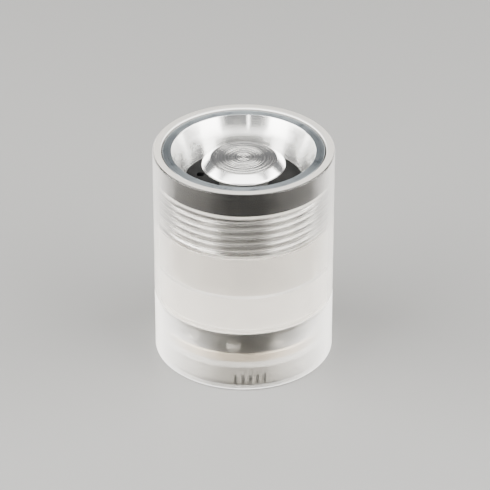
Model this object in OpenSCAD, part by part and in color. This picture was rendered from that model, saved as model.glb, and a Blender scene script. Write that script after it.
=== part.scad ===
// Mini survey prism in a frosted, lit housing.
// The glass looks out of the underside. A push-button light module screws into the top.
// Millimetres, +Z up, origin at the centre of the underside.

/* [Housing] */
// Outer diameter of the housing
outer_d = 33; // [32.6:0.2:34]
// Overall height
total_h = 41.8; // [41:0.1:45]
// Height of the base cup, up to the joint line
base_h = 12.3; // [12:0.1:13]
// Wall of the sleeve round the head of the bezel
rim_wall = 1.5; // [1.4:0.1:1.7]
// Wall of the base cup round the front ring
cup_wall = 1.6; // [1.5:0.1:1.8]

/* [Bezel] */
// Depth of the bezel's face below the rim
bezel_drop = 0.4; // [0.2:0.1:0.6]
// Height of the bezel's plain head
head_h = 4.75; // [4.5:0.25:5]
// Pitch of the bezel's thread
bezel_pitch = 1.5; // [1.25:0.25:1.5]
// Depth of the finger well, from the bezel's face to the black ring
well_depth = 6.15; // [6:0.05:6.3]
// Radius of the finger well at the bezel's face
well_mouth_r = 13.1; // [12.8:0.1:13.2]
// Radius of the finger well at the black ring
well_floor_r = 10.95; // [10.9:0.05:11]

/* [Button] */
// Depth of the button's top below the rim
button_drop = 1.85; // [1.7:0.05:2]
// Rise of the cap's slightly crowned top
cap_crown = 0.15; // [0.1:0.05:0.2]
// Largest radius of the button's cap
cap_r = 7.6; // [7:0.1:7.8]
// Radius of the crowned top of the cap
cap_flat_r = 6.05; // [5.5:0.05:6.2]
// Radius of the button's stem
stem_r = 4.5; // [4.4:0.05:4.6]
// Travel of the button
travel = 1.5; // [1:0.1:1.5]

/* [Prism] */
// Diameter of the glass
glass_d = 17.5; // [17:0.1:17.5]
// Height of the glass face above the underside
face_z = 4.8; // [4.8:0.1:5]
// Straight edge of the glass, below the three facets
glass_edge = 0.6; // [0.5:0.1:0.7]
// Number of screws through the flange of the prism cell
screw_count = 10; // [4:1:10]

/* [Index marks] */
// Number of light marks, with a dark one between each two
mark_count = 6; // [3:1:8]
// Angle from one light mark to the next
mark_step = 5; // [5:0.5:6]

/* [Hidden] */
$fn = 96;
outer_r = outer_d / 2;
run = 0.05;   // running clearance between turned parts, on the radius
touch = 0.02; // gap between parts that only rest on each other
cut = 1;      // how far a cutter runs past the part
thread_gap = 0.08;  // clearance all round a thread's ridge
thread_steps = 48;  // flats round one turn of a thread

// Base cup and the parts in it
cup_bore_r = outer_r - cup_wall;
ring_low_z = 0.6;
ring_high_z = 4.4;
spacer_low_z = ring_high_z + touch;
spacer_high_z = 5.6;
ring_mouth_r = 11.6;
aperture_r = 8.3;
glass_r = glass_d / 2;
glass_h = glass_edge + glass_r * sqrt(2);
apex_z = face_z + glass_h;
cushion_r = glass_r + 0.55;
cushion_high_z = 8.3;
spigot_r = outer_r - 1.5;
spigot_bore_r = spigot_r - 1.4;
spigot_high_z = base_h + 6.8;
flange_r = cup_bore_r - run;
flange_low_z = spacer_high_z + touch;
flange_high_z = 7.5;
cup_shoulder_z = flange_high_z + touch;
cell_r = 10.4;
cell_bore_r = glass_r + 0.1;
screw_circle_r = (spigot_bore_r + cell_r) / 2;
screw_r = 0.8;
screw_head_r = 1.25;
screw_head_h = 0.7;
screw_len = 4.8;
mark_h = 1.8;
mark_w = 0.55;
mark_depth = 0.25;
mark_centre = -90 + 4.5;
first_screw = mark_centre - 12.7;

// Sleeve and the seal in the joint
sleeve_bore_r = spigot_r + run;
joint_seal_r = 0.28;
joint_seal_seat = 0.66;
sleeve_seat_z = spigot_high_z + 0.3;
chamber_r = outer_r - 2.8;

// Bezel and light module
bezel_top_z = total_h - bezel_drop;
head_low_z = bezel_top_z - head_h;
head_r = outer_r - rim_wall - 0.08;
seal_gap = 0.7;
shoulder_z = head_low_z - seal_gap;
shank_len = 8.15;
shank_low_z = shoulder_z - shank_len;
thread_r = outer_r - 2.3;
thread_root_r = thread_r - 0.85;
thread_bore_r = thread_root_r + thread_gap;
relief_r = thread_r + 0.1;
bezel_first_z = shank_low_z + 0.95;
bezel_turns = (shoulder_z - shank_low_z - 1.7) / bezel_pitch;
bezel_first_angle = 124;
ring_top_z = bezel_top_z - well_depth;
ring_t = 1.75;
ring_low = ring_top_z - ring_t;
ring_mid_z = (ring_top_z + ring_low) / 2;
spanner_circle_r = 8.07;
spanner_hole_r = 0.68;
spanner_angle = 167;
web_bore_r = 9.4;
board_r = 10.35;
board_t = 0.8;
board_top_z = ring_low - 4;
board_low_z = board_top_z - board_t;
holder_flange_r = 12.9;
holder_flange_t = 1.15;
holder_r = 9.8;
holder_top_z = board_low_z - run;
cell_pocket_r = 8.15;
coin_r = 8;
coin_h = 2;
coin_top_z = board_low_z - 0.55;
coin_low_z = coin_top_z - coin_h;
holder_floor_t = 1.2;
light_top_z = coin_low_z - touch - holder_floor_t;
light_t = 0.6;
light_low_z = light_top_z - light_t;
pin_circle_r = 8.95;
pin_r = 0.32;
pin_angle = 30;
holder_screw_circle_r = 11.85;
holder_screw_r = 0.6;
holder_screw_angle = 60;
holder_screw_head_r = 1;
holder_screw_head_h = 0.55;
holder_screw_len = 3.4;
led_circle_r = 5.2;
led_body = 2.8;
led_body_h = 0.5;
led_dome_r = 1.1;
washer_t = 0.12;

// Button
button_top_z = total_h - button_drop;
cap_low_z = button_top_z - 1.75;
clip_high_z = ring_low - run;
clip_t = 0.5;
clip_groove_r = 4;
stem_low_z = ring_low - 1.8;
stem_seal_r = 0.41;
stem_seal_room = 0.9;
recess_r = 3.2;
nose_r = 1.3;
switch_h = 0.9;
switch_side = 3.4;
switch_floor = 0.12;
plunger_r = 0.95;
plunger_stroke = 0.25;
plunger_top_z = board_top_z + switch_h + 0.4;
nose_low_z = plunger_top_z + travel - plunger_stroke + run;
wire_r = 0.2;
spring_r = 2.85;
spring_turns = 5;

// A solid turned round the Z axis from its half outline
module turned(outline) {
    rotate_extrude() polygon(outline);
}

// A plain washer or tube
module tube(outside, inside, low, high) {
    translate([0, 0, low]) difference() {
        cylinder(r = outside, h = high - low);
        translate([0, 0, -cut]) cylinder(r = inside, h = high - low + 2 * cut);
    }
}

// A ring of round section, such as an O-ring
module o_ring(centre_r, section_r, mid_z) {
    translate([0, 0, mid_z]) rotate_extrude() translate([centre_r, 0]) circle(r = section_r, $fn = 32);
}

// Children repeated round a circle
module ring_of(count, radius, first = 0) {
    for (i = [0 : count - 1]) rotate(first + i * 360 / count) translate([radius, 0, 0]) children();
}

// One point of a section that is carried up a helix
function helix_point(angle, radius, height) = [radius * cos(angle), radius * sin(angle), height];

// A closed section [radius, height] swept up a helix, with a flat cap at each end
module helix_sweep(section, pitch, turns, first_angle, low, steps_per_turn) {
    sides = len(section);
    rings = floor(turns * steps_per_turn);
    points = [for (i = [0 : rings], p = section)
        let (angle = first_angle + i * 360 / steps_per_turn)
        helix_point(angle, p[0], low + p[1] + i * pitch / steps_per_turn)];
    walls = [for (i = [0 : rings - 1], k = [0 : sides - 1])
        let (a = i * sides + k, b = i * sides + (k + 1) % sides)
        [a, a + sides, b + sides, b]];
    first_cap = [[for (k = [0 : sides - 1]) k]];
    last_cap = [[for (k = [sides - 1 : -1 : 0]) rings * sides + k]];
    polyhedron(points, concat(walls, first_cap, last_cap), convexity = 8);
}

// The ridge of an outside thread, sunk a little into its core. Its middle starts at first_z.
module thread_ridge(root_r, crest_r, pitch, first_z, turns, first_angle) {
    sunk = 0.15;
    foot = pitch * 0.4;
    crest = pitch * 0.12;
    section = [[root_r - sunk, foot], [crest_r, crest], [crest_r, -crest], [root_r - sunk, -foot]];
    helix_sweep(section, pitch, turns, first_angle, first_z, thread_steps);
}

// The groove of the matching inside thread, a little wider and deeper than the ridge.
// It starts some turns before the ridge and follows the same helix.
module thread_groove(root_r, crest_r, pitch, first_z, turns, first_angle, before) {
    sunk = 0.15;
    foot = pitch * 0.4;
    crest = pitch * 0.12;
    slope = (foot - crest) / (crest_r - root_r + sunk);
    deep_r = crest_r + thread_gap;
    deep = crest - slope * thread_gap + thread_gap;
    section = [[root_r - sunk, foot + thread_gap], [deep_r, deep], [deep_r, -deep],
               [root_r - sunk, -foot - thread_gap]];
    helix_sweep(section, pitch, turns + before, first_angle - 360 * before, first_z - pitch * before,
                thread_steps);
}

// Base ---------------------------------------------------------------------------------

module base_cup() {
    chamfer = 0.35;
    color("whitesmoke", 0.6) turned([
        [cup_bore_r, 0], [outer_r - chamfer, 0], [outer_r, chamfer], [outer_r, base_h - 0.6],
        [outer_r - 0.15, base_h], [spigot_r, base_h], [spigot_r, spigot_high_z - 0.3],
        [spigot_r - 0.3, spigot_high_z], [spigot_bore_r, spigot_high_z],
        [spigot_bore_r, cup_shoulder_z], [cup_bore_r, cup_shoulder_z]]);
}

// Short upright grooves round a part of the ring's rim, painted light and dark in turn
module index_grooves() {
    groove_count = 2 * mark_count - 1;
    for (i = [0 : groove_count - 1])
        rotate(mark_centre + (i - (groove_count - 1) / 2) * mark_step / 2)
            translate([cup_bore_r - run - mark_depth, -mark_w / 2, ring_low_z + 0.35])
                cube([mark_depth + cut, mark_w, mark_h]);
}

module front_ring() {
    color("silver") difference() {
        turned([[ring_mouth_r, ring_low_z], [cup_bore_r - run - 0.2, ring_low_z],
                [cup_bore_r - run, ring_low_z + 0.2], [cup_bore_r - run, ring_high_z],
                [aperture_r, ring_high_z], [aperture_r, ring_high_z - 0.5]]);
        index_grooves();
        ring_of(screw_count, screw_circle_r, first_screw)
            translate([0, 0, ring_low_z + 1.9]) cylinder(r = screw_r + touch, h = 4, $fn = 24);
    }
}

// The pale ring between the front ring and the flange of the cell
module spacer_ring() {
    color("white") difference() {
        tube(cup_bore_r - run, cushion_r + run, spacer_low_z, spacer_high_z);
        ring_of(screw_count, screw_circle_r, first_screw)
            translate([0, 0, spacer_low_z - cut]) cylinder(r = screw_r + 0.1, h = 4, $fn = 24);
    }
}

module face_gasket() {
    color("black") tube(cushion_r, aperture_r, ring_high_z + touch, face_z - touch);
}

// A cylinder of glass cut back by three planes that meet at right angles
module corner_prism() {
    side = 40;
    color("lightcyan", 0.5) intersection() {
        translate([0, 0, face_z]) cylinder(r = glass_r, h = glass_h + cut);
        translate([0, 0, apex_z]) rotate([0, 180, 30]) rotate([0, -atan(sqrt(2)), 0])
            rotate([0, 0, -45]) cube(side);
    }
}

module prism_cushion() {
    color("black") tube(cushion_r, glass_r + run, face_z + run, cushion_high_z);
}

module prism_cell() {
    cone_foot_z = apex_z - glass_r / sqrt(2) + 0.25;
    color("silver") difference() {
        turned([[cushion_r + run, flange_low_z], [flange_r, flange_low_z],
                [flange_r, flange_high_z - 0.3], [flange_r - 0.3, flange_high_z], [cell_r, flange_high_z],
                [cell_r, cone_foot_z + 0.4], [2, apex_z + 1.4], [0, apex_z + 1.4], [0, apex_z + 0.25],
                [0.5, apex_z + 0.25], [cell_bore_r, cone_foot_z], [cell_bore_r, cushion_high_z + 0.1],
                [cushion_r + run, cushion_high_z + 0.1]]);
        ring_of(screw_count, screw_circle_r, first_screw)
            translate([0, 0, flange_low_z - cut]) cylinder(r = screw_r + 0.1, h = 4, $fn = 24);
    }
}

// A pan-head screw with a cross recess, head on top
module pan_screw(shank_r, head_r, head_h, length) {
    difference() {
        union() {
            translate([0, 0, -length]) cylinder(r = shank_r, h = length + head_h / 2, $fn = 24);
            cylinder(r = head_r, h = head_h * 0.55, $fn = 32);
            translate([0, 0, head_h * 0.55])
                cylinder(r1 = head_r, r2 = head_r * 0.7, h = head_h * 0.45, $fn = 32);
        }
        for (turn = [0, 90])
            rotate(turn) translate([-head_r * 0.55, -head_r * 0.12, head_h * 0.4])
                cube([head_r * 1.1, head_r * 0.24, head_h]);
    }
}

module cell_screws() {
    color("gainsboro") ring_of(screw_count, screw_circle_r, first_screw)
        translate([0, 0, flange_high_z + touch]) pan_screw(screw_r, screw_head_r, screw_head_h, screw_len);
}

// Sleeve -------------------------------------------------------------------------------

module base_seal() {
    color("white") o_ring(spigot_r + joint_seal_r + 0.06, joint_seal_r, base_h + joint_seal_r + 0.04);
}

module frosted_sleeve() {
    seal_seat_r = spigot_r + joint_seal_seat;
    seal_seat_z = base_h + joint_seal_seat;
    color("whitesmoke", 0.6) difference() {
        turned([
            [seal_seat_r, base_h + touch], [outer_r - 0.15, base_h + touch], [outer_r, base_h + 0.2],
            [outer_r, total_h - 0.25], [outer_r - 0.25, total_h], [outer_r - rim_wall + 0.15, total_h],
            [outer_r - rim_wall, total_h - 0.15], [outer_r - rim_wall, shoulder_z], [relief_r, shoulder_z],
            [thread_bore_r, shoulder_z - 0.5], [thread_bore_r, shank_low_z + 0.5],
            [relief_r, shank_low_z + 0.3], [relief_r, shank_low_z - 0.2], [chamber_r, shank_low_z - 0.7],
            [chamber_r, sleeve_seat_z], [sleeve_bore_r, sleeve_seat_z], [sleeve_bore_r, seal_seat_z],
            [seal_seat_r, seal_seat_z]]);
        thread_groove(thread_root_r, thread_r, bezel_pitch, bezel_first_z, bezel_turns + 0.9,
                      bezel_first_angle, 0.25);
    }
}

// Bezel and what it holds ----------------------------------------------------------------

module bezel_seal() {
    color("white") o_ring(outer_r - rim_wall - 0.42, seal_gap / 2 - touch, shoulder_z + seal_gap / 2);
}

module top_bezel() {
    lip = 0.3;
    neck_r = thread_root_r - 0.1;
    color("silver") difference() {
        union() {
            turned([[well_mouth_r, bezel_top_z], [head_r - lip, bezel_top_z], [head_r, bezel_top_z - lip],
                    [head_r, head_low_z], [neck_r, head_low_z], [neck_r, shoulder_z - 0.1],
                    [thread_root_r, shoulder_z - 0.3], [thread_root_r, shank_low_z + 0.2],
                    [thread_root_r - 0.2, shank_low_z], [board_r + run, shank_low_z],
                    [board_r + run, board_top_z + run], [web_bore_r, board_top_z + run],
                    [web_bore_r, ring_low], [well_floor_r - 0.05, ring_low],
                    [well_floor_r - 0.05, ring_top_z - 0.1], [well_floor_r, ring_top_z]]);
            thread_ridge(thread_root_r, thread_r, bezel_pitch, bezel_first_z, bezel_turns,
                         bezel_first_angle);
        }
        ring_of(3, holder_screw_circle_r, holder_screw_angle)
            translate([0, 0, shank_low_z - cut]) cylinder(r = holder_screw_r + touch, h = 4, $fn = 24);
    }
}

module retaining_ring() {
    edge = well_floor_r - 0.1;
    bore = stem_r + run;
    seal_r = stem_r + stem_seal_room;
    color("dimgray") difference() {
        turned([[bore, ring_low + touch], [edge, ring_low + touch], [edge, ring_top_z - 0.15],
                [edge - 0.15, ring_top_z], [bore + 0.2, ring_top_z], [bore, ring_top_z - 0.2],
                [bore, ring_mid_z + stem_seal_room / 2], [seal_r, ring_mid_z + stem_seal_room / 2],
                [seal_r, ring_mid_z - stem_seal_room / 2], [bore, ring_mid_z - stem_seal_room / 2]]);
        ring_of(2, spanner_circle_r, spanner_angle)
            translate([0, 0, ring_low + 0.45]) cylinder(r = spanner_hole_r, h = 3, $fn = 32);
    }
}

module button_seal() {
    color("black") o_ring(stem_r + run + stem_seal_r, stem_seal_r, ring_mid_z);
}

module push_button() {
    groove_high_z = clip_high_z + 0.03;
    groove_low_z = clip_high_z - clip_t - 0.03;
    crown_steps = 4;
    crown = [for (k = [0 : crown_steps])
        [cap_flat_r * k / crown_steps, button_top_z - cap_crown * pow(k / crown_steps, 2)]];
    color("silver") turned(concat(crown, [
        [cap_r - 0.1, cap_low_z + 0.5], [cap_r, cap_low_z + 0.3], [cap_r, cap_low_z + 0.15],
        [cap_r - 0.15, cap_low_z], [stem_r, cap_low_z], [stem_r, groove_high_z],
        [clip_groove_r, groove_high_z], [clip_groove_r, groove_low_z], [stem_r, groove_low_z],
        [stem_r, stem_low_z + 0.2], [stem_r - 0.2, stem_low_z], [recess_r, stem_low_z],
        [recess_r, ring_low], [nose_r, ring_low], [nose_r, nose_low_z + 0.3],
        [nose_r - 0.3, nose_low_z], [0, nose_low_z]]));
}

// An open snap ring in the stem's groove
module stem_clip() {
    color("gray") difference() {
        tube(stem_r + 0.9, clip_groove_r + touch, clip_high_z - clip_t, clip_high_z);
        rotate(20) translate([0, -1.6, clip_high_z - cut]) cube([8, 3.2, 3]);
    }
}

module return_spring() {
    sides = 8;
    low = board_top_z + wire_r + run;
    high = ring_low - wire_r - run;
    section = [for (k = [0 : sides - 1])
        [spring_r + wire_r * cos(-k * 360 / sides), wire_r * sin(-k * 360 / sides)]];
    color("lightgray") helix_sweep(section, (high - low) / spring_turns, spring_turns, 0, low, 16);
}

module switch_board() {
    color("darkgreen") translate([0, 0, board_low_z]) cylinder(r = board_r, h = board_t);
}

module tact_switch() {
    color("dimgray") difference() {
        translate([-switch_side / 2, -switch_side / 2, board_top_z + touch])
            cube([switch_side, switch_side, switch_h - touch]);
        translate([0, 0, board_top_z + switch_floor])
            cylinder(r = plunger_r + run, h = switch_h, $fn = 32);
    }
}

module switch_plunger() {
    low = board_top_z + switch_floor + plunger_stroke + run;
    color("black") translate([0, 0, low])
        cylinder(r = plunger_r, h = plunger_top_z - low, $fn = 32);
}

module battery_holder() {
    flange_top_z = shank_low_z - run;
    flange_low_z = flange_top_z - holder_flange_t;
    color("white") difference() {
        turned([[0, light_top_z + touch], [holder_r - 0.3, light_top_z + touch],
                [holder_r, light_top_z + 0.3], [holder_r, flange_low_z], [holder_flange_r, flange_low_z],
                [holder_flange_r, flange_top_z], [board_r - run, flange_top_z],
                [board_r - run, holder_top_z], [cell_pocket_r, holder_top_z],
                [cell_pocket_r, coin_low_z - touch], [0, coin_low_z - touch]]);
        ring_of(2, pin_circle_r, pin_angle)
            translate([0, 0, light_top_z - cut]) cylinder(r = pin_r + run, h = 8, $fn = 24);
        ring_of(3, holder_screw_circle_r, holder_screw_angle)
            translate([0, 0, flange_top_z - 3]) cylinder(r = holder_screw_r + 0.1, h = 4, $fn = 24);
    }
}

module coin_cell() {
    color("lightsteelblue") turned([
        [0, coin_low_z], [coin_r - 0.2, coin_low_z], [coin_r, coin_low_z + 0.2],
        [coin_r, coin_top_z - 0.4], [coin_r - 0.7, coin_top_z - 0.3], [coin_r - 0.9, coin_top_z - 0.1],
        [coin_r - 1.1, coin_top_z], [0, coin_top_z]]);
}

// A springy dished washer between the coin cell and the board
module battery_contact() {
    low = coin_top_z + touch;
    high = board_low_z - touch;
    color("gold") turned([
        [1.2, low], [1.8, low], [4.4, high - washer_t], [5.2, high - washer_t],
        [5.2, high], [4.3, high], [1.7, low + washer_t], [1.2, low + washer_t]]);
}

module light_board() {
    color("white") difference() {
        translate([0, 0, light_low_z]) cylinder(r = holder_r - 0.4, h = light_t);
        ring_of(2, pin_circle_r, pin_angle)
            translate([0, 0, light_low_z - cut]) cylinder(r = pin_r + run, h = 3, $fn = 24);
    }
}

module leds() {
    low = light_low_z - led_body_h;
    color("khaki") ring_of(3, led_circle_r, 30) {
        translate([-led_body / 2, -led_body / 2, low]) cube([led_body, led_body, led_body_h - touch]);
        translate([0, 0, low]) intersection() {
            sphere(r = led_dome_r, $fn = 32);
            translate([-2, -2, -2]) cube([4, 4, 2.1]);
        }
    }
}

module contact_pins() {
    color("gold") ring_of(2, pin_circle_r, pin_angle)
        translate([0, 0, light_low_z])
            cylinder(r = pin_r, h = board_low_z - touch - light_low_z, $fn = 24);
}

module holder_screws() {
    head_z = shank_low_z - run - holder_flange_t - touch;
    color("gainsboro") ring_of(3, holder_screw_circle_r, holder_screw_angle)
        translate([0, 0, head_z]) mirror([0, 0, 1])
            pan_screw(holder_screw_r, holder_screw_head_r, holder_screw_head_h, holder_screw_len);
}

base_cup();
front_ring();
spacer_ring();
face_gasket();
corner_prism();
prism_cushion();
prism_cell();
cell_screws();
base_seal();
frosted_sleeve();
bezel_seal();
top_bezel();
retaining_ring();
button_seal();
push_button();
stem_clip();
return_spring();
switch_board();
tact_switch();
switch_plunger();
battery_holder();
coin_cell();
battery_contact();
light_board();
leds();
contact_pins();
holder_screws();
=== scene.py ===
import bpy
import bmesh
import math
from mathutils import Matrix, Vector


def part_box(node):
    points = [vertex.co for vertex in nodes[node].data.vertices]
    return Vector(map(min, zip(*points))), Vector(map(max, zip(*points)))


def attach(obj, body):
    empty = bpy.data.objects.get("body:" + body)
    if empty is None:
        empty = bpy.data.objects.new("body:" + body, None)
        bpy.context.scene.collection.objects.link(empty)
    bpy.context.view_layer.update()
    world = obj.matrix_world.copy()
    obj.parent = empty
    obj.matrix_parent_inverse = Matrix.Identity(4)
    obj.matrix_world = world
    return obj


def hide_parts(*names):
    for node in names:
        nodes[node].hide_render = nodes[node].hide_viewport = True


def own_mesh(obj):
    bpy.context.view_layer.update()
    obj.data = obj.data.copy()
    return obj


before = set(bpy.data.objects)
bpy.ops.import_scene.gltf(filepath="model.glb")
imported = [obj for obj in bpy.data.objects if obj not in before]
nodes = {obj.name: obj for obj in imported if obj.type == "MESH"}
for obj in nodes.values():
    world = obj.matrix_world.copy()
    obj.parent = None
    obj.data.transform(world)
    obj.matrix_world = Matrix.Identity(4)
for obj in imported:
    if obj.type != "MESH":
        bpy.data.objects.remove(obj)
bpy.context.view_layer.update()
MM = 0.001


def in_mm(value):
    return value / MM


# ---------------------------------------------------------------- places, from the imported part

sleeve_lo, sleeve_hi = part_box("frosted_sleeve")
cup_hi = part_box("base_cup")[1]
bezel_lo, bezel_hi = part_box("top_bezel")
black_lo, black_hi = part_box("retaining_ring")
button_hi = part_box("push_button")[1]
ring_lo, ring_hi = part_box("front_ring")
glass_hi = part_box("corner_prism")[1]
cushion_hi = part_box("prism_cushion")[1]
plunger_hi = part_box("switch_plunger")[1]
spring_lo, spring_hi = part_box("return_spring")

# TOUCH is the gap between pieces that rest on each other. RUN is the clearance between turned pieces,
# on the radius.
TOUCH = 0.02
RUN = 0.05

# Measures inside a piece, which its box doesn't give, as the part's source has them.
HEAD_HEIGHT = 4.75
HEAD_STEP = 0.7
CAP_HEIGHT = 1.75
SPIGOT_STEP = 1.5
THREAD_WALL = 2.3
THREAD_DEPTH = 0.85
CHAMBER_WALL = 2.8

OUTER = in_mm(sleeve_hi.x)
TOP = in_mm(sleeve_hi.z)
JOINT = in_mm(sleeve_lo.z) - TOUCH
BEZEL_TOP = in_mm(bezel_hi.z)
SHANK_LOW = in_mm(bezel_lo.z)
HEAD_R = in_mm(bezel_hi.x)
HEAD_LOW = BEZEL_TOP - HEAD_HEIGHT
SHOULDER = HEAD_LOW - HEAD_STEP
RING_TOP = in_mm(black_hi.z)
RING_LOW = in_mm(black_lo.z) - TOUCH
BUTTON_TOP = in_mm(button_hi.z)
CAP_R = in_mm(button_hi.x)
CAP_LOW = BUTTON_TOP - CAP_HEIGHT
SPIGOT_TOP = in_mm(cup_hi.z)
SPIGOT_R = OUTER - SPIGOT_STEP
FRONT_LOW = in_mm(ring_lo.z)
FRONT_TOP = in_mm(ring_hi.z)
FRONT_R = in_mm(ring_hi.x)
CUP_BORE = FRONT_R + RUN
THREAD_R = OUTER - THREAD_WALL
THREAD_ROOT = THREAD_R - THREAD_DEPTH
CHAMBER_R = OUTER - CHAMBER_WALL

# How the turned meshes are made: faces round the axis, the angle of a crisp edge in degrees, the weight
# of large faces, the share of a side that a rounded corner may take, and two distances in metres.
COLUMNS = 192
SHARP_ANGLE = 38
NORMAL_WEIGHT = 90
CORNER_SHARE = 0.45
MERGE_WITHIN = 2e-7
TINY_EDGE = 1e-8


# ---------------------------------------------------------------- shape helpers, in millimetres

def rounded(points, closed=True, steps=3):
    """An outline whose corners are rounded by the third number of each point."""
    made = []
    count = len(points)
    for i, p in enumerate(points):
        size = p[2] if len(p) > 2 else 0
        here = Vector((p[0], p[1]))
        if size <= 0 or (not closed and i in (0, count - 1)):
            made.append((here.x, here.y))
            continue
        before = Vector(points[i - 1][:2]) - here
        after = Vector(points[(i + 1) % count][:2]) - here
        size = min(size, before.length * CORNER_SHARE, after.length * CORNER_SHARE)
        a, b = here + before.normalized() * size, here + after.normalized() * size
        for s in range(steps + 1):
            t = s / steps
            q = a * (1 - t) ** 2 + here * (2 * t * (1 - t)) + b * t ** 2
            made.append((q.x, q.y))
    return made


def spin(bm, outline, closed, columns=COLUMNS):
    """Turns an outline of (radius, height) round the axis. An open outline leaves room for a thread."""
    rings = []
    for r, z in outline:
        if r < 1e-6:
            rings.append([bm.verts.new((0, 0, z * MM))] * columns)
            continue
        rings.append([bm.verts.new((r * MM * math.cos(2 * math.pi * i / columns),
                                    r * MM * math.sin(2 * math.pi * i / columns), z * MM))
                      for i in range(columns)])
    last = len(rings) if closed else len(rings) - 1
    for k in range(last):
        low, high = rings[k], rings[(k + 1) % len(rings)]
        for i in range(columns):
            j = (i + 1) % columns
            corners = []
            for v in (low[i], low[j], high[j], high[i]):
                if v not in corners:
                    corners.append(v)
            if len(corners) > 2:
                bm.faces.new(corners)


def thread_sheet(bm, low, high, pitch, centre, section, radius_at):
    """One screw thread between two heights. Its rows follow the helix, so its edges stay crisp.
    centre is the height of the ridge's middle at angle 0; section is (offset, radius) over one pitch."""
    per_turn = len(section)
    first = math.floor((low - centre) / pitch) - 2
    turns = math.ceil((high - low) / pitch) + 4
    rows = [(first + m, offset, r) for m in range(turns) for offset, r in section]
    grid = []
    for i in range(COLUMNS):
        column = []
        for m, offset, r in rows:
            z = centre + pitch * (m + i / COLUMNS) + offset
            z = min(max(z, low), high)
            r = radius_at(z, r)
            a = 2 * math.pi * i / COLUMNS
            column.append(bm.verts.new((r * MM * math.cos(a), r * MM * math.sin(a), z * MM)))
        grid.append(column)
    for i in range(COLUMNS):
        j = (i + 1) % COLUMNS
        jump = per_turn if j == 0 else 0
        for k in range(len(rows) - 1):
            if k + 1 + jump < len(rows):
                bm.faces.new((grid[i][k], grid[j][k + jump], grid[j][k + 1 + jump], grid[i][k + 1]))


def smooth(mesh):
    for p in mesh.polygons:
        p.use_smooth = True
    mesh.set_sharp_from_angle(angle=math.radians(SHARP_ANGLE))


def weigh_normals(piece):
    mod = piece.modifiers.new("weighted", "WEIGHTED_NORMAL")
    mod.keep_sharp = True
    mod.weight = NORMAL_WEIGHT


def finish_mesh(name, bm, weighted=True):
    bmesh.ops.remove_doubles(bm, verts=bm.verts, dist=MERGE_WITHIN)
    bmesh.ops.dissolve_degenerate(bm, edges=bm.edges, dist=TINY_EDGE)
    bmesh.ops.recalc_face_normals(bm, faces=bm.faces)
    mesh = bpy.data.meshes.new(name)
    bm.to_mesh(mesh)
    bm.free()
    smooth(mesh)
    piece = bpy.data.objects.new(name, mesh)
    bpy.context.scene.collection.objects.link(piece)
    if weighted:
        weigh_normals(piece)
    return piece


def cut_away(piece, cutters):
    """Takes the cutters out of a piece and removes them."""
    piece.modifiers.clear()
    for cutter in cutters:
        mod = piece.modifiers.new("cut", "BOOLEAN")
        mod.operation = "DIFFERENCE"
        mod.solver = "EXACT"
        mod.object = cutter
    bpy.context.view_layer.update()
    depsgraph = bpy.context.evaluated_depsgraph_get()
    mesh = bpy.data.meshes.new_from_object(piece.evaluated_get(depsgraph))
    piece.modifiers.clear()
    old = piece.data
    piece.data = mesh
    bpy.data.meshes.remove(old)
    smooth(mesh)
    for cutter in cutters:
        old = cutter.data
        bpy.data.objects.remove(cutter)
        bpy.data.meshes.remove(old)
    weigh_normals(piece)


def ramp(value, points):
    """Straight lines between (value, result) points."""
    if value <= points[0][0]:
        return points[0][1]
    for (a, ra), (b, rb) in zip(points, points[1:]):
        if value <= b:
            return ra + (rb - ra) * (value - a) / (b - a)
    return points[-1][1]


# ---------------------------------------------------------------- materials

ACRYLIC_IOR = 1.49
GLASS_IOR = 1.517

# Scales of the noises, and how much of a turning mark changes across the piece.
METAL_CLOUD = 420.0
ACRYLIC_CLOUD = 260.0
ACRYLIC_GRAIN = 9000.0
ACRYLIC_MARKS = 5200.0
MOULDED_CLOUD = 350.0
MOULDED_GRAIN = 6000.0
GLASS_HAZE = 700.0
ROUND_SHARE = 0.012


def new_material(name):
    mat = bpy.data.materials.new(name)
    mat.use_nodes = True
    tree = mat.node_tree
    bsdf = next(n for n in tree.nodes if n.type == "BSDF_PRINCIPLED")
    return mat, tree, bsdf


def link(tree, a, b):
    tree.links.new(a, b)


def noise(tree, vector, scale, detail, rough):
    n = tree.nodes.new("ShaderNodeTexNoise")
    n.inputs["Scale"].default_value = scale
    n.inputs["Detail"].default_value = detail
    n.inputs["Roughness"].default_value = rough
    link(tree, vector, n.inputs["Vector"])
    return n.outputs["Fac"]


def spread(tree, source, low, high, start=0.3, end=0.7):
    n = tree.nodes.new("ShaderNodeMapRange")
    n.inputs["From Min"].default_value = start
    n.inputs["From Max"].default_value = end
    n.inputs["To Min"].default_value = low
    n.inputs["To Max"].default_value = high
    link(tree, source, n.inputs["Value"])
    return n.outputs["Result"]


def two_colours(tree, factor, dark, light):
    n = tree.nodes.new("ShaderNodeMix")
    n.data_type = "RGBA"
    n.inputs["A"].default_value = (*dark, 1)
    n.inputs["B"].default_value = (*light, 1)
    link(tree, factor, n.inputs["Factor"])
    return n.outputs["Result"]


def bumped(tree, bsdf, height, strength, distance):
    n = tree.nodes.new("ShaderNodeBump")
    n.inputs["Strength"].default_value = strength
    n.inputs["Distance"].default_value = distance
    link(tree, height, n.inputs["Height"])
    link(tree, n.outputs["Normal"], bsdf.inputs["Normal"])


def object_coords(tree):
    return tree.nodes.new("ShaderNodeTexCoord").outputs["Object"]


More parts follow.
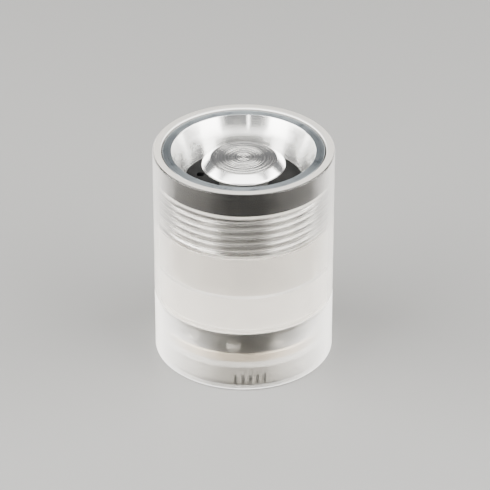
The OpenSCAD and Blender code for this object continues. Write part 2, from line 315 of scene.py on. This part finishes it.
def turning_coords(tree):
    """Coordinates that are almost the same all round the axis, so that a noise becomes turning marks."""
    coords = object_coords(tree)
    parts = tree.nodes.new("ShaderNodeSeparateXYZ")
    link(tree, coords, parts.inputs[0])
    flat = tree.nodes.new("ShaderNodeCombineXYZ")
    link(tree, parts.outputs["X"], flat.inputs["X"])
    link(tree, parts.outputs["Y"], flat.inputs["Y"])
    radius = tree.nodes.new("ShaderNodeVectorMath")
    radius.operation = "LENGTH"
    link(tree, flat.outputs[0], radius.inputs[0])
    small = tree.nodes.new("ShaderNodeMath")
    small.operation = "MULTIPLY"
    small.inputs[1].default_value = ROUND_SHARE
    link(tree, parts.outputs["X"], small.inputs[0])
    out = tree.nodes.new("ShaderNodeCombineXYZ")
    link(tree, radius.outputs["Value"], out.inputs["X"])
    link(tree, parts.outputs["Z"], out.inputs["Y"])
    link(tree, small.outputs[0], out.inputs["Z"])
    return out.outputs[0]


def turned_metal(name, dark, light, rough_low, rough_high, marks=9000.0, depth=4e-6, strength=0.35,
                 anisotropic=0.6):
    mat, tree, bsdf = new_material(name)
    bsdf.inputs["Metallic"].default_value = 1.0
    bsdf.inputs["Anisotropic"].default_value = anisotropic
    bsdf.inputs["Anisotropic Rotation"].default_value = 0.25
    tangent = tree.nodes.new("ShaderNodeTangent")
    tangent.direction_type = "RADIAL"
    tangent.axis = "Z"
    link(tree, tangent.outputs[0], bsdf.inputs["Tangent"])
    turning = turning_coords(tree)
    lines = noise(tree, turning, marks, 4.0, 0.6)
    cloud = noise(tree, object_coords(tree), METAL_CLOUD, 3.0, 0.55)
    colour = two_colours(tree, spread(tree, lines, 0, 1, 0.32, 0.68), dark, light)
    link(tree, colour, bsdf.inputs["Base Color"])
    both = tree.nodes.new("ShaderNodeMath")
    both.operation = "MULTIPLY"
    link(tree, spread(tree, lines, rough_low, rough_high), both.inputs[0])
    link(tree, spread(tree, cloud, 0.85, 1.2), both.inputs[1])
    link(tree, both.outputs[0], bsdf.inputs["Roughness"])
    bumped(tree, bsdf, lines, strength, depth)
    return mat


def frosted_plastic(name, colour, rough_low, rough_high, transmission, marks=True, shine=1.0, haze=None):
    """Frosted acrylic. haze is the share of light that gets through where the wall is seen edge on,
    and the Layer Weight values between which the share falls to it."""
    mat, tree, bsdf = new_material(name)
    bsdf.inputs["IOR"].default_value = ACRYLIC_IOR
    bsdf.inputs["Specular Tint"].default_value = (shine, shine, shine, 1)
    bsdf.inputs["Transmission Weight"].default_value = transmission
    if haze is not None:
        grazing, start, end = haze
        edge_on = tree.nodes.new("ShaderNodeLayerWeight")
        edge_on.inputs["Blend"].default_value = 0.5
        share = spread(tree, edge_on.outputs["Facing"], transmission, grazing, start, end)
        link(tree, share, bsdf.inputs["Transmission Weight"])
    coords = object_coords(tree)
    cloud = noise(tree, coords, ACRYLIC_CLOUD, 3.0, 0.5)
    grain = noise(tree, coords, ACRYLIC_GRAIN, 2.0, 0.5)
    tint = tuple(c * 0.975 for c in colour)
    link(tree, two_colours(tree, spread(tree, cloud, 0, 1), tint, colour), bsdf.inputs["Base Color"])
    both = tree.nodes.new("ShaderNodeMath")
    both.operation = "MULTIPLY"
    link(tree, spread(tree, grain, rough_low, rough_high), both.inputs[0])
    link(tree, spread(tree, cloud, 0.94, 1.06), both.inputs[1])
    link(tree, both.outputs[0], bsdf.inputs["Roughness"])
    if marks:
        lines = noise(tree, turning_coords(tree), ACRYLIC_MARKS, 3.0, 0.6)
        bumped(tree, bsdf, lines, 0.12, 2e-6)
    return mat


def moulded(name, dark, light, rough, metallic=0.0, coat=0.0):
    mat, tree, bsdf = new_material(name)
    bsdf.inputs["Metallic"].default_value = metallic
    bsdf.inputs["Coat Weight"].default_value = coat
    coords = object_coords(tree)
    grain = noise(tree, coords, MOULDED_GRAIN, 3.0, 0.6)
    cloud = noise(tree, coords, MOULDED_CLOUD, 3.0, 0.5)
    link(tree, two_colours(tree, spread(tree, cloud, 0, 1), dark, light), bsdf.inputs["Base Color"])
    link(tree, spread(tree, grain, rough * 0.85, min(1.0, rough * 1.15)), bsdf.inputs["Roughness"])
    bumped(tree, bsdf, grain, 0.3, 3e-6)
    return mat


frosted = frosted_plastic("frosted_wall", (0.99, 0.97, 0.94), 0.13, 0.17, 1.0, shine=0.3,
                          haze=(0.35, 0.42, 1.0))
frosted_cup = frosted_plastic("frosted_cup", (0.99, 0.97, 0.94), 0.345, 0.415, 1.0, shine=0.3,
                              haze=(0.2, 0.2, 0.72))
# The sleeve's top face is the same acrylic as its wall but has a darker grey colour. This is painted shade.
rim_painted_shade = frosted_plastic("rim_painted_shade", (0.67, 0.645, 0.605), 0.36, 0.46, 0.55)
cut_edge = frosted_plastic("cut_edge", (0.98, 0.975, 0.96), 0.5, 0.6, 0.0)
clear_bore = frosted_plastic("clear_bore", (0.985, 0.98, 0.97), 0.10, 0.16, 1.0, marks=False, shine=0.3)
frosted_inside = frosted_plastic("frosted_inside", (0.99, 0.955, 0.905), 0.40, 0.5, 0.12, marks=False)
frosted_chamber = frosted_plastic("frosted_chamber", (0.99, 0.94, 0.87), 0.32, 0.42, 0.45, marks=False)
satin_face = turned_metal("satin_face", (0.27, 0.305, 0.33), (0.42, 0.46, 0.49), 0.26, 0.36, marks=14000.0)
polished_cone = turned_metal("polished_cone", (0.80, 0.80, 0.79), (0.90, 0.90, 0.89), 0.16, 0.24,
                             marks=4200.0, depth=3e-6, strength=0.2, anisotropic=0.85)
# The bezel head's outer side gets a nearly black metal colour. This is painted shade, standing in for the
# dark room reflected in a normally bright metal.
head_painted_shade = turned_metal("head_painted_shade", (0.016, 0.0157, 0.0152), (0.056, 0.055, 0.0535), 0.42, 0.56,
                         marks=2600.0, anisotropic=0.9)
thread_metal = turned_metal("thread_metal", (0.27, 0.265, 0.255), (0.42, 0.412, 0.40), 0.24, 0.36)
hidden_metal = turned_metal("hidden_metal", (0.45, 0.45, 0.44), (0.58, 0.58, 0.57), 0.35, 0.5)
cap_face = turned_metal("cap_face", (0.60, 0.594, 0.575), (0.84, 0.833, 0.815), 0.2, 0.29, marks=7000.0,
                        depth=5e-6, strength=0.5, anisotropic=0.65)
cap_edge = turned_metal("cap_edge", (0.86, 0.86, 0.85), (0.94, 0.94, 0.93), 0.16, 0.24, marks=9000.0,
                        strength=0.25)
black_anodised = turned_metal("black_anodised", (0.004, 0.004, 0.0043), (0.009, 0.009, 0.0095), 0.42, 0.56,
                              marks=6000.0, anisotropic=0.3)
black_bsdf = black_anodised.node_tree.nodes["Principled BSDF"]
black_bsdf.inputs["Metallic"].default_value = 0.0
black_bsdf.inputs["Specular IOR Level"].default_value = 0.05
flange_alloy = turned_metal("flange_alloy", (0.80, 0.69, 0.55), (0.93, 0.83, 0.69), 0.34, 0.48)
flange_top = turned_metal("flange_top", (0.27, 0.265, 0.25), (0.42, 0.413, 0.395), 0.26, 0.38, marks=3000.0,
                          anisotropic=0.9)
ring_alloy = turned_metal("ring_alloy", (0.48, 0.465, 0.43), (0.72, 0.70, 0.66), 0.26, 0.4, marks=3200.0,
                          depth=6e-6, strength=0.6)
cell_alloy = turned_metal("cell_alloy", (0.09, 0.088, 0.085), (0.18, 0.176, 0.17), 0.34, 0.48, marks=2600.0)
mark_paint = moulded("mark_paint", (0.62, 0.60, 0.55), (0.74, 0.71, 0.66), 0.6)
dark_paint = moulded("dark_paint", (0.09, 0.09, 0.088), (0.13, 0.13, 0.126), 0.6)
spacer_white = moulded("spacer_white", (0.97, 0.955, 0.92), (0.99, 0.98, 0.955), 0.45)
rubber = moulded("gasket_rubber", (0.018, 0.018, 0.018), (0.03, 0.03, 0.03), 0.7)
silicone = moulded("seal_silicone", (0.74, 0.73, 0.70), (0.82, 0.81, 0.78), 0.5)
screw_steel = moulded("screw_steel", (0.62, 0.60, 0.565), (0.74, 0.72, 0.685), 0.6, metallic=1.0)
spring_steel = moulded("spring_steel", (0.46, 0.46, 0.47), (0.58, 0.58, 0.59), 0.3, metallic=1.0)
board_green = moulded("board_green", (0.015, 0.13, 0.05), (0.03, 0.19, 0.08), 0.35, coat=0.4)
board_white = moulded("board_white", (0.80, 0.80, 0.78), (0.88, 0.88, 0.86), 0.35, coat=0.3)
switch_black = moulded("switch_black", (0.03, 0.03, 0.03), (0.05, 0.05, 0.05), 0.5)
plunger_white = moulded("plunger_white", (0.74, 0.74, 0.72), (0.82, 0.82, 0.80), 0.45)
holder_white = moulded("holder_white", (0.80, 0.80, 0.78), (0.87, 0.87, 0.85), 0.5)
coin_steel = moulded("coin_steel", (0.62, 0.63, 0.64), (0.74, 0.75, 0.76), 0.28, metallic=1.0)
gold = moulded("contact_gold", (0.78, 0.58, 0.25), (0.88, 0.70, 0.36), 0.25, metallic=1.0)
led_resin = moulded("led_resin", (0.86, 0.78, 0.42), (0.92, 0.87, 0.62), 0.25, coat=0.6)


def optical_glass(name):
    mat, tree, bsdf = new_material(name)
    bsdf.inputs["Base Color"].default_value = (0.93, 0.98, 0.97, 1)
    bsdf.inputs["Transmission Weight"].default_value = 1.0
    bsdf.inputs["IOR"].default_value = GLASS_IOR
    haze = noise(tree, object_coords(tree), GLASS_HAZE, 3.0, 0.6)
    link(tree, spread(tree, haze, 0.0, 0.02), bsdf.inputs["Roughness"])
    return mat


glass = optical_glass("optical_glass")

finishes = {
    "spacer_ring": spacer_white, "face_gasket": rubber, "corner_prism": glass, "prism_cushion": rubber,
    "prism_cell": cell_alloy, "cell_screws": screw_steel, "base_seal": silicone, "bezel_seal": silicone,
    "button_seal": rubber, "stem_clip": spring_steel, "return_spring": spring_steel,
    "switch_board": board_green, "tact_switch": switch_black, "switch_plunger": plunger_white,
    "battery_holder": holder_white, "coin_cell": coin_steel, "battery_contact": gold,
    "light_board": board_white, "leds": led_resin, "contact_pins": gold, "holder_screws": screw_steel,
    "frosted_sleeve": frosted, "base_cup": frosted, "top_bezel": thread_metal,
    "retaining_ring": black_anodised, "push_button": cap_face, "front_ring": ring_alloy,
}
for node_name, finish in finishes.items():
    slots = nodes[node_name].material_slots
    if len(slots) == 0:
        nodes[node_name].data.materials.append(finish)
    for s in slots:
        s.material = finish


def by_region(piece, materials, choose):
    """Gives each face of a piece one of the materials. choose reads the radius and the height of the
    face's middle, in mm, and its normal."""
    for m in materials:
        piece.data.materials.append(m)
    for p in piece.data.polygons:
        c = p.center
        p.material_index = choose(math.hypot(c.x, c.y) / MM, c.z / MM, p.normal)


# ---------------------------------------------------------------- frosted sleeve

def thread_section(root, crest, half_root, half_crest, pitch, soften):
    """One ridge of a thread, from the middle of one root to the middle of the next."""
    line = [(-pitch / 2, root), (-half_root, root, soften), (-half_crest, crest, soften * 0.6),
            (half_crest, crest, soften * 0.6), (half_root, root, soften), (pitch / 2, root)]
    return rounded(line, closed=False, steps=2)[:-1]


# RIDGE_ANGLE is where the ridge starts round the axis. The half widths are of a ridge at root and crest.
PITCH = 1.5
RIDGE_ANGLE = 124
CENTRE_AT_0 = SHANK_LOW + 0.95 - PITCH * RIDGE_ANGLE / 360
THREAD_PLAY = 0.08
THREAD_SOFTEN = 0.07
FEMALE_HALF_ROOT = 0.583
FEMALE_HALF_CREST = 0.226
MALE_HALF_ROOT = 0.537
MALE_HALF_CREST = 0.18
FEMALE_MINOR = THREAD_ROOT + THREAD_PLAY
FEMALE_LOW = SHANK_LOW + 0.3
RELIEF = THREAD_R + 0.1
COUNTERBORE_R = OUTER - 1.5
SLEEVE_BORE = SPIGOT_R + RUN
SEAL_SEAT = 0.66
SEAT = SPIGOT_TOP + 0.3

bm = bmesh.new()
female_fade = [(FEMALE_LOW, RELIEF), (SHANK_LOW + 0.5, FEMALE_MINOR), (SHOULDER - 0.5, FEMALE_MINOR),
               (SHOULDER, RELIEF)]
sleeve_run = rounded([
    (RELIEF, FEMALE_LOW), (RELIEF, SHANK_LOW - 0.2, 0.08), (CHAMBER_R, SHANK_LOW - 0.7, 0.2),
    (CHAMBER_R, SEAT, 0.12), (SLEEVE_BORE, SEAT, 0.08), (SLEEVE_BORE, JOINT + SEAL_SEAT, 0.03),
    (SPIGOT_R + SEAL_SEAT, JOINT + SEAL_SEAT, 0.03), (SPIGOT_R + SEAL_SEAT, JOINT + TOUCH, 0.03),
    (OUTER - 0.15, JOINT + TOUCH, 0.05), (OUTER, JOINT + 0.2, 0.12), (OUTER, TOP - 0.25, 0.18),
    (OUTER - 0.25, TOP, 0.18), (COUNTERBORE_R + 0.15, TOP, 0.10), (COUNTERBORE_R, TOP - 0.15, 0.10),
    (COUNTERBORE_R, BEZEL_TOP), (COUNTERBORE_R, SHOULDER, 0.12), (RELIEF, SHOULDER)], closed=False)
spin(bm, sleeve_run, closed=False)
female_section = thread_section(FEMALE_MINOR, THREAD_R + THREAD_PLAY, FEMALE_HALF_ROOT, FEMALE_HALF_CREST,
                                PITCH, THREAD_SOFTEN)
thread_sheet(bm, FEMALE_LOW, SHOULDER, PITCH, CENTRE_AT_0, female_section,
             lambda z, r: max(r, ramp(z, female_fade)) if FEMALE_LOW < z < SHOULDER else RELIEF)
sleeve = finish_mesh("frosted_sleeve_fine", bm)


def sleeve_region(r, z, n):
    if r > OUTER - 0.3 and abs(n.z) < 0.8:
        return 0
    if r < COUNTERBORE_R + 0.1 and z > BEZEL_TOP and abs(n.z) < 0.5:
        return 5
    # The top face gets the darker acrylic, which is painted shade.
    if z > TOP - 0.3:
        return 1
    if z > SHANK_LOW - 0.6:
        return 2
    if abs(n.z) > 0.7 and z > SEAT - 0.1:
        return 5
    if z > SEAT - 0.1:
        return 3
    return 4


by_region(sleeve, [frosted, rim_painted_shade, clear_bore, frosted_chamber, frosted_inside, cut_edge],
          sleeve_region)
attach(sleeve, "sleeve")
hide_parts("frosted_sleeve")


# ---------------------------------------------------------------- base cup

SPIGOT_BORE = OUTER - 2.9
FLANGE_LOW = FRONT_TOP + 1.22
FLANGE_TOP = FLANGE_LOW + 1.88
CUP_SHOULDER = FLANGE_TOP + TOUCH
BOTTOM_EDGE = 0.55

bm = bmesh.new()
spin(bm, rounded([
    (SPIGOT_R, SPIGOT_TOP - 0.3, 0.05), (SPIGOT_R - 0.3, SPIGOT_TOP, 0.1), (SPIGOT_BORE, SPIGOT_TOP, 0.1),
    (SPIGOT_BORE, JOINT - 0.4), (SPIGOT_BORE, JOINT - 0.6), (SPIGOT_BORE, CUP_SHOULDER, 0.05),
    (CUP_BORE, CUP_SHOULDER, 0.05), (CUP_BORE, FRONT_LOW), (CUP_BORE, 0, 0.1), (OUTER - 0.35, 0, 0.08),
    (OUTER, 0.35, 0.1), (OUTER, BOTTOM_EDGE), (OUTER, JOINT - 0.6, 0.3), (OUTER - 0.15, JOINT, 0.08),
    (SPIGOT_R, JOINT, 0.05)]), closed=True)
cup = finish_mesh("base_cup_fine", bm)


def cup_region(r, z, n):
    in_mouth = z < FRONT_LOW and r < CUP_BORE + 0.1
    if z < BOTTOM_EDGE and (r > OUTER - 0.45 or abs(n.z) > 0.7 or in_mouth):
        return 3
    if r > OUTER - 0.45 and z < JOINT - 0.05:
        return 0
    if z > JOINT - 0.5:
        return 2
    return 1


by_region(cup, [frosted_cup, clear_bore, frosted_inside, cut_edge], cup_region)
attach(cup, "base")
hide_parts("base_cup")


# ---------------------------------------------------------------- bezel

WELL_FLOOR = 10.95
WELL_MOUTH = 13.1
WEB_R = 9.4
BOARD_BORE = 10.4
BOARD_SEAT = SHANK_LOW + 1.75
HEAD_SIDE_FROM = 14
MALE_LOW = SHANK_LOW + 0.2
MALE_HIGH = SHOULDER - 0.3

bm = bmesh.new()
bezel_run = rounded([
    (THREAD_ROOT, MALE_LOW), (THREAD_ROOT - 0.2, SHANK_LOW, 0.08), (BOARD_BORE, SHANK_LOW, 0.08),
    (BOARD_BORE, BOARD_SEAT, 0.05), (WEB_R, BOARD_SEAT, 0.05), (WEB_R, RING_LOW, 0.05),
    (WELL_FLOOR - 0.05, RING_LOW, 0.05), (WELL_FLOOR - 0.05, RING_TOP - 0.1, 0.03),
    (WELL_FLOOR, RING_TOP, 0.04), (WELL_MOUTH, BEZEL_TOP, 0.09), (HEAD_R - 0.3, BEZEL_TOP, 0.08),
    (HEAD_R, BEZEL_TOP - 0.3, 0.10), (HEAD_R, HEAD_LOW, 0.12), (THREAD_ROOT - 0.1, HEAD_LOW, 0.06),
    (THREAD_ROOT - 0.1, SHOULDER - 0.1, 0.06), (THREAD_ROOT, MALE_HIGH)], closed=False)
spin(bm, bezel_run, closed=False)
male_section = thread_section(THREAD_ROOT, THREAD_R, MALE_HALF_ROOT, MALE_HALF_CREST, PITCH, THREAD_SOFTEN)
male_fade = [(MALE_LOW, 0.0), (SHANK_LOW + 0.75, 1.0), (SHOULDER - 0.95, 1.0), (MALE_HIGH, 0.0)]
thread_sheet(bm, MALE_LOW, MALE_HIGH, PITCH, CENTRE_AT_0, male_section,
             lambda z, r: THREAD_ROOT + (r - THREAD_ROOT) * ramp(z, male_fade))
bezel = finish_mesh("top_bezel_fine", bm)


def bezel_region(r, z, n):
    if z > BEZEL_TOP - 0.06 and n.z > 0.5:
        return 0
    if r < WELL_MOUTH + 0.1 and z > RING_TOP - 0.05 and n.z > 0:
        return 1
    # The head's outer side takes the nearly black metal, which is painted shade.
    if z > HEAD_LOW - 0.1 and r > HEAD_SIDE_FROM:
        return 2
    if z < SHOULDER and r > THREAD_ROOT - 0.15:
        return 3
    return 4


by_region(bezel, [satin_face, polished_cone, head_painted_shade, thread_metal, hidden_metal], bezel_region)
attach(bezel, "bezel")
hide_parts("top_bezel")


# ---------------------------------------------------------------- black ring with its spanner holes

PEG_COLUMNS = 32
PEG_PAST = 1


def peg(name, x, y, low, high, radius, mouth):
    """A cutter for a round hole with a slightly broken edge at its mouth. It reaches past the top."""
    made = bmesh.new()
    spin(made, [(0, low), (radius, low), (radius, high - mouth), (radius + mouth, high),
                (radius + mouth, high + PEG_PAST), (0, high + PEG_PAST)], closed=False, columns=PEG_COLUMNS)
    for v in made.verts:
        v.co.x += x * MM
        v.co.y += y * MM
    return finish_mesh(name, made, weighted=False)


STEM_R = 4.5
STEM_BORE = STEM_R + RUN
BLACK_R = 10.85
RING_MIDDLE = (RING_TOP + RING_LOW) / 2
SEAL_R = STEM_R + 0.9
SEAL_HALF = 0.45
HOLE_R = 0.68
HOLE_CIRCLE = 8.07
HOLE_ANGLES = (167, 347)
HOLE_FLOOR = RING_LOW + 0.45
HOLE_BROKEN_EDGE = 0.06

bm = bmesh.new()
spin(bm, rounded([
    (STEM_BORE, RING_LOW + TOUCH), (BLACK_R, RING_LOW + TOUCH, 0.05), (BLACK_R, RING_TOP - 0.15, 0.06),
    (BLACK_R - 0.15, RING_TOP, 0.08), (STEM_BORE + 0.2, RING_TOP, 0.08), (STEM_BORE, RING_TOP - 0.2, 0.08),
    (STEM_BORE, RING_MIDDLE + SEAL_HALF), (SEAL_R, RING_MIDDLE + SEAL_HALF),
    (SEAL_R, RING_MIDDLE - SEAL_HALF), (STEM_BORE, RING_MIDDLE - SEAL_HALF)]), closed=True)
black = finish_mesh("retaining_ring_fine", bm)
pegs = []
for turn in HOLE_ANGLES:
    a = math.radians(turn)
    pegs.append(peg("peg", HOLE_CIRCLE * math.cos(a), HOLE_CIRCLE * math.sin(a), HOLE_FLOOR, RING_TOP,
                    HOLE_R, HOLE_BROKEN_EDGE))
cut_away(black, pegs)
by_region(black, [black_anodised], lambda r, z, n: 0)
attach(black, "bezel")
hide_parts("retaining_ring")


# ---------------------------------------------------------------- push button

CROWN = 0.15
CAP_FLAT = CAP_R - 1.55
NOSE_R = 1.3
NOSE_LOW = in_mm(plunger_hi.z) + 1.3
CLIP_R = 4.0
CLIP_HIGH = RING_LOW - 0.02
CLIP_LOW = RING_LOW - 0.58
STEM_LOW = RING_LOW - 1.8
SPRING_POCKET_R = 3.2
GROOVES_END = 5.7


def crown(r):
    """Height of the cap's slightly domed top at a radius."""
    return BUTTON_TOP - CROWN * (r / CAP_FLAT) ** 2


# Turning marks in the cap's top: radius, depth and half width of each.
top_line = [(0, BUTTON_TOP - 0.012)]
grooves = [(0.35, 0.030, 0.11), (0.85, 0.045, 0.12), (1.25, 0.034, 0.10), (1.95, 0.018, 0.10),
           (2.60, 0.036, 0.11), (3.12, 0.060, 0.13), (3.48, 0.036, 0.10), (3.95, 0.024, 0.10),
           (4.70, 0.016, 0.10), (5.45, 0.020, 0.10)]
for centre, deep, half in grooves:
    for offset, share in ((-1, 0), (-0.35, 0.8), (0, 1), (0.35, 0.8), (1, 0)):
        r = centre + offset * half
        top_line.append((r, crown(r) - deep * share))
edge = rounded([
    (GROOVES_END, crown(GROOVES_END)), (CAP_FLAT, crown(CAP_FLAT), 0.06), (CAP_R - 0.1, CAP_LOW + 0.5, 0.08),
    (CAP_R, CAP_LOW + 0.3, 0.05), (CAP_R, CAP_LOW + 0.15, 0.05), (CAP_R - 0.15, CAP_LOW, 0.05),
    (STEM_R, CAP_LOW, 0.15), (STEM_R, CLIP_HIGH), (CLIP_R, CLIP_HIGH), (CLIP_R, CLIP_LOW),
    (STEM_R, CLIP_LOW), (STEM_R, STEM_LOW + 0.2, 0.05), (STEM_R - 0.2, STEM_LOW, 0.05),
    (SPRING_POCKET_R, STEM_LOW, 0.05), (SPRING_POCKET_R, RING_LOW, 0.1), (NOSE_R, RING_LOW, 0.1),
    (NOSE_R, NOSE_LOW + 0.3), (NOSE_R - 0.3, NOSE_LOW), (0, NOSE_LOW)], closed=False)
bm = bmesh.new()
spin(bm, top_line + edge, closed=False)
button = finish_mesh("push_button_fine", bm)


def button_region(r, z, n):
    if z > BUTTON_TOP - CROWN - 0.05 and r < CAP_FLAT:
        return 0
    if z > CAP_LOW - 0.05:
        return 1
    return 2


by_region(button, [cap_face, cap_edge, hidden_metal], button_region)
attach(button, "button")
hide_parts("push_button")


# ---------------------------------------------------------------- return spring

WIRE_R = 0.2
COIL_R = in_mm(spring_hi.x) - WIRE_R
SPRING_LOW = in_mm(spring_lo.z)
SPRING_HIGH = in_mm(spring_hi.z)
SPRING_TURNS = 5


def coil(bm, radius, wire, low, high, turns, steps=40, sides=10):
    """A round wire wound along a helix, with its two ends closed."""
    hoops = []
    for k in range(turns * steps + 1):
        a = 2 * math.pi * k / steps
        middle_z = low + wire + (high - low - 2 * wire) * k / (turns * steps)
        hoop = []
        for i in range(sides):
            b = 2 * math.pi * i / sides
            r, z = radius + wire * math.cos(b), middle_z + wire * math.sin(b)
            hoop.append(bm.verts.new((r * MM * math.cos(a), r * MM * math.sin(a), z * MM)))
        hoops.append(hoop)
    for one, two in zip(hoops, hoops[1:]):
        for i in range(sides):
            j = (i + 1) % sides
            bm.faces.new((one[i], two[i], two[j], one[j]))
    bm.faces.new(hoops[0])
    bm.faces.new(list(reversed(hoops[-1])))


bm = bmesh.new()
coil(bm, COIL_R, WIRE_R, SPRING_LOW, SPRING_HIGH, SPRING_TURNS)
spring = finish_mesh("return_spring_fine", bm)
by_region(spring, [spring_steel], lambda r, z, n: 0)
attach(spring, "bezel")
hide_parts("return_spring")
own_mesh(spring)


# ---------------------------------------------------------------- prism cell

CELL_R = 10.4
GLASS_R = in_mm(glass_hi.x)
GLASS_BORE = GLASS_R + 0.1
CUSHION_BORE = GLASS_R + 0.6
CUSHION_TOP = in_mm(cushion_hi.z) + 0.1
APEX = in_mm(glass_hi.z)
CELL_ROOF = APEX + 1.4
HOLLOW_TOP = APEX + 0.25
CONE_FOOT = APEX - GLASS_R / math.sqrt(2) + 0.25
FLANGE_R = CUP_BORE - RUN

bm = bmesh.new()
cell_run = rounded([
    (CUSHION_BORE, FLANGE_LOW), (FLANGE_R, FLANGE_LOW, 0.06), (FLANGE_R, FLANGE_TOP - 0.3, 0.06),
    (FLANGE_R - 0.3, FLANGE_TOP, 0.08), (CELL_R, FLANGE_TOP, 0.15), (CELL_R, CONE_FOOT + 0.4, 0.12),
    (2, CELL_ROOF, 0.2), (0, CELL_ROOF), (0, HOLLOW_TOP), (0.5, HOLLOW_TOP), (GLASS_BORE, CONE_FOOT),
    (GLASS_BORE, CUSHION_TOP), (CUSHION_BORE, CUSHION_TOP)], closed=False)
spin(bm, cell_run + [(CUSHION_BORE, FLANGE_LOW)], closed=False)
cell = finish_mesh("prism_cell_fine", bm)


def cell_region(r, z, n):
    if r > FLANGE_R - 0.2:
        return 1
    if r > CELL_R and n.z > 0.5 and z < FLANGE_TOP + 0.1:
        return 2
    return 0


by_region(cell, [cell_alloy, flange_alloy, flange_top], cell_region)
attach(cell, "base")
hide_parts("prism_cell")


# ---------------------------------------------------------------- front ring with its index grooves

MOUTH_R = 11.6
APERTURE_R = 8.3

# Light and dark index grooves, in turn. MARK_CENTRE and MARK_STEP are angles round the axis, in degrees.
MARKS = 11
MARK_CENTRE = -85.5
MARK_STEP = 2.5
MARK_DEPTH = 0.25
MARK_REACH = 1.25
MARK_WIDTH = 0.55
MARK_HEIGHT = 1.8
MARK_FOOT = FRONT_LOW + 0.35

bm = bmesh.new()
spin(bm, rounded([
    (MOUTH_R, FRONT_LOW, 0.06), (FRONT_R - 0.2, FRONT_LOW, 0.06), (FRONT_R, FRONT_LOW + 0.2, 0.06),
    (FRONT_R, FRONT_TOP, 0.06), (APERTURE_R, FRONT_TOP, 0.05), (APERTURE_R, FRONT_TOP - 0.5, 0.08)]),
    closed=True)
front = finish_mesh("front_ring_fine", bm)
cutters = []
for i in range(MARKS):
    a = math.radians(MARK_CENTRE + (i - (MARKS - 1) / 2) * MARK_STEP)
    made = bmesh.new()
    bmesh.ops.create_cube(made, size=1.0)
    for v in made.verts:
        x = v.co.x * MARK_REACH + FRONT_R - MARK_DEPTH + MARK_REACH / 2
        y = v.co.y * MARK_WIDTH
        z = v.co.z * MARK_HEIGHT + MARK_FOOT + MARK_HEIGHT / 2
        turned_x = x * math.cos(a) - y * math.sin(a)
        turned_y = x * math.sin(a) + y * math.cos(a)
        v.co = Vector((turned_x * MM, turned_y * MM, z * MM))
    cutters.append(finish_mesh("cutter", made, weighted=False))
cut_away(front, cutters)

for m in (ring_alloy, mark_paint, dark_paint):
    front.data.materials.append(m)
for p in front.data.polygons:
    c = p.center / MM
    depth = FRONT_R - math.hypot(c.x, c.y)
    step = (math.degrees(math.atan2(c.y, c.x)) - MARK_CENTRE) / MARK_STEP + (MARKS - 1) / 2
    as_deep = MARK_DEPTH - 0.05 < depth < MARK_DEPTH + 0.03
    as_high = MARK_FOOT - 0.05 < c.z < MARK_FOOT + MARK_HEIGHT + 0.05
    if as_deep and as_high and abs(p.normal.z) < 0.3 and -0.5 < step < MARKS - 0.5:
        p.material_index = 1 + round(step) % 2
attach(front, "base")
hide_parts("front_ring")


# ---------------------------------------------------------------- stage, light and camera

def plane(name, size, z):
    made = bmesh.new()
    bmesh.ops.create_grid(made, x_segments=2, y_segments=2, size=size)
    mesh = bpy.data.meshes.new(name)
    for v in made.verts:
        v.co.z = z
    made.to_mesh(mesh)
    made.free()
    piece = bpy.data.objects.new(name, mesh)
    bpy.context.scene.collection.objects.link(piece)
    return piece


FLOOR_HALF = 3.0
floor = plane("floor", FLOOR_HALF, 0.0)
floor_mat, _, floor_bsdf = new_material("pale_floor")
floor_bsdf.inputs["Base Color"].default_value = (0.19, 0.19, 0.188, 1)
floor_bsdf.inputs["Roughness"].default_value = 0.5
floor.data.materials.append(floor_mat)

world = bpy.data.worlds.new("studio")
world.use_nodes = True
world.node_tree.nodes["Background"].inputs["Color"].default_value = (0.93, 0.95, 1.0, 1)
world.node_tree.nodes["Background"].inputs["Strength"].default_value = 0.22
bpy.context.scene.world = world


LAMP_COLOUR = (1, 0.985, 0.95)


def soft_light(name, place, target, size, size_y, power):
    data = bpy.data.lights.new(name, "AREA")
    data.shape = "RECTANGLE"
    data.size, data.size_y = size, size_y
    data.energy = power
    data.color = LAMP_COLOUR
    lamp = bpy.data.objects.new(name, data)
    bpy.context.scene.collection.objects.link(lamp)
    lamp.location = place
    lamp.rotation_mode = "QUATERNION"
    lamp.rotation_quaternion = (Vector(target) - Vector(place)).to_track_quat("-Z", "Y")


middle = (0, 0, 0.03)
soft_light("left_box", (-0.430, -0.115, 0.227), middle, 0.66, 0.50, 15.0)
soft_light("right_box", (0.430, -0.115, 0.227), middle, 0.72, 0.50, 14.0)
soft_light("top_box", (0.0, -0.20, 0.56), middle, 0.84, 0.34, 6.4)
soft_light("back_box", (0.0, 0.37, 0.51), middle, 0.46, 0.18, 1.3)
soft_light("front_strip", (-0.12, -0.90, 0.15), middle, 0.06, 0.14, 0.4)

ELEVATION = math.radians(31.89)
DISTANCE = 0.5607
AIM_BELOW_TOP = 0.02104
aim = Vector((0, 0, sleeve_hi.z - AIM_BELOW_TOP))
camera_data = bpy.data.cameras.new("camera")
camera_data.sensor_width = 36
camera_data.lens = 223.6
camera_data.shift_x = 0.0027
camera_data.shift_y = 0.0041
camera_data.clip_start = 0.01
camera_data.clip_end = 20
camera = bpy.data.objects.new("camera", camera_data)
bpy.context.scene.collection.objects.link(camera)
back = Vector((0, -math.cos(ELEVATION), math.sin(ELEVATION)))
camera.location = aim + back * DISTANCE
camera.rotation_mode = "QUATERNION"
camera.rotation_quaternion = (-back).to_track_quat("-Z", "Y")
bpy.context.scene.camera = camera
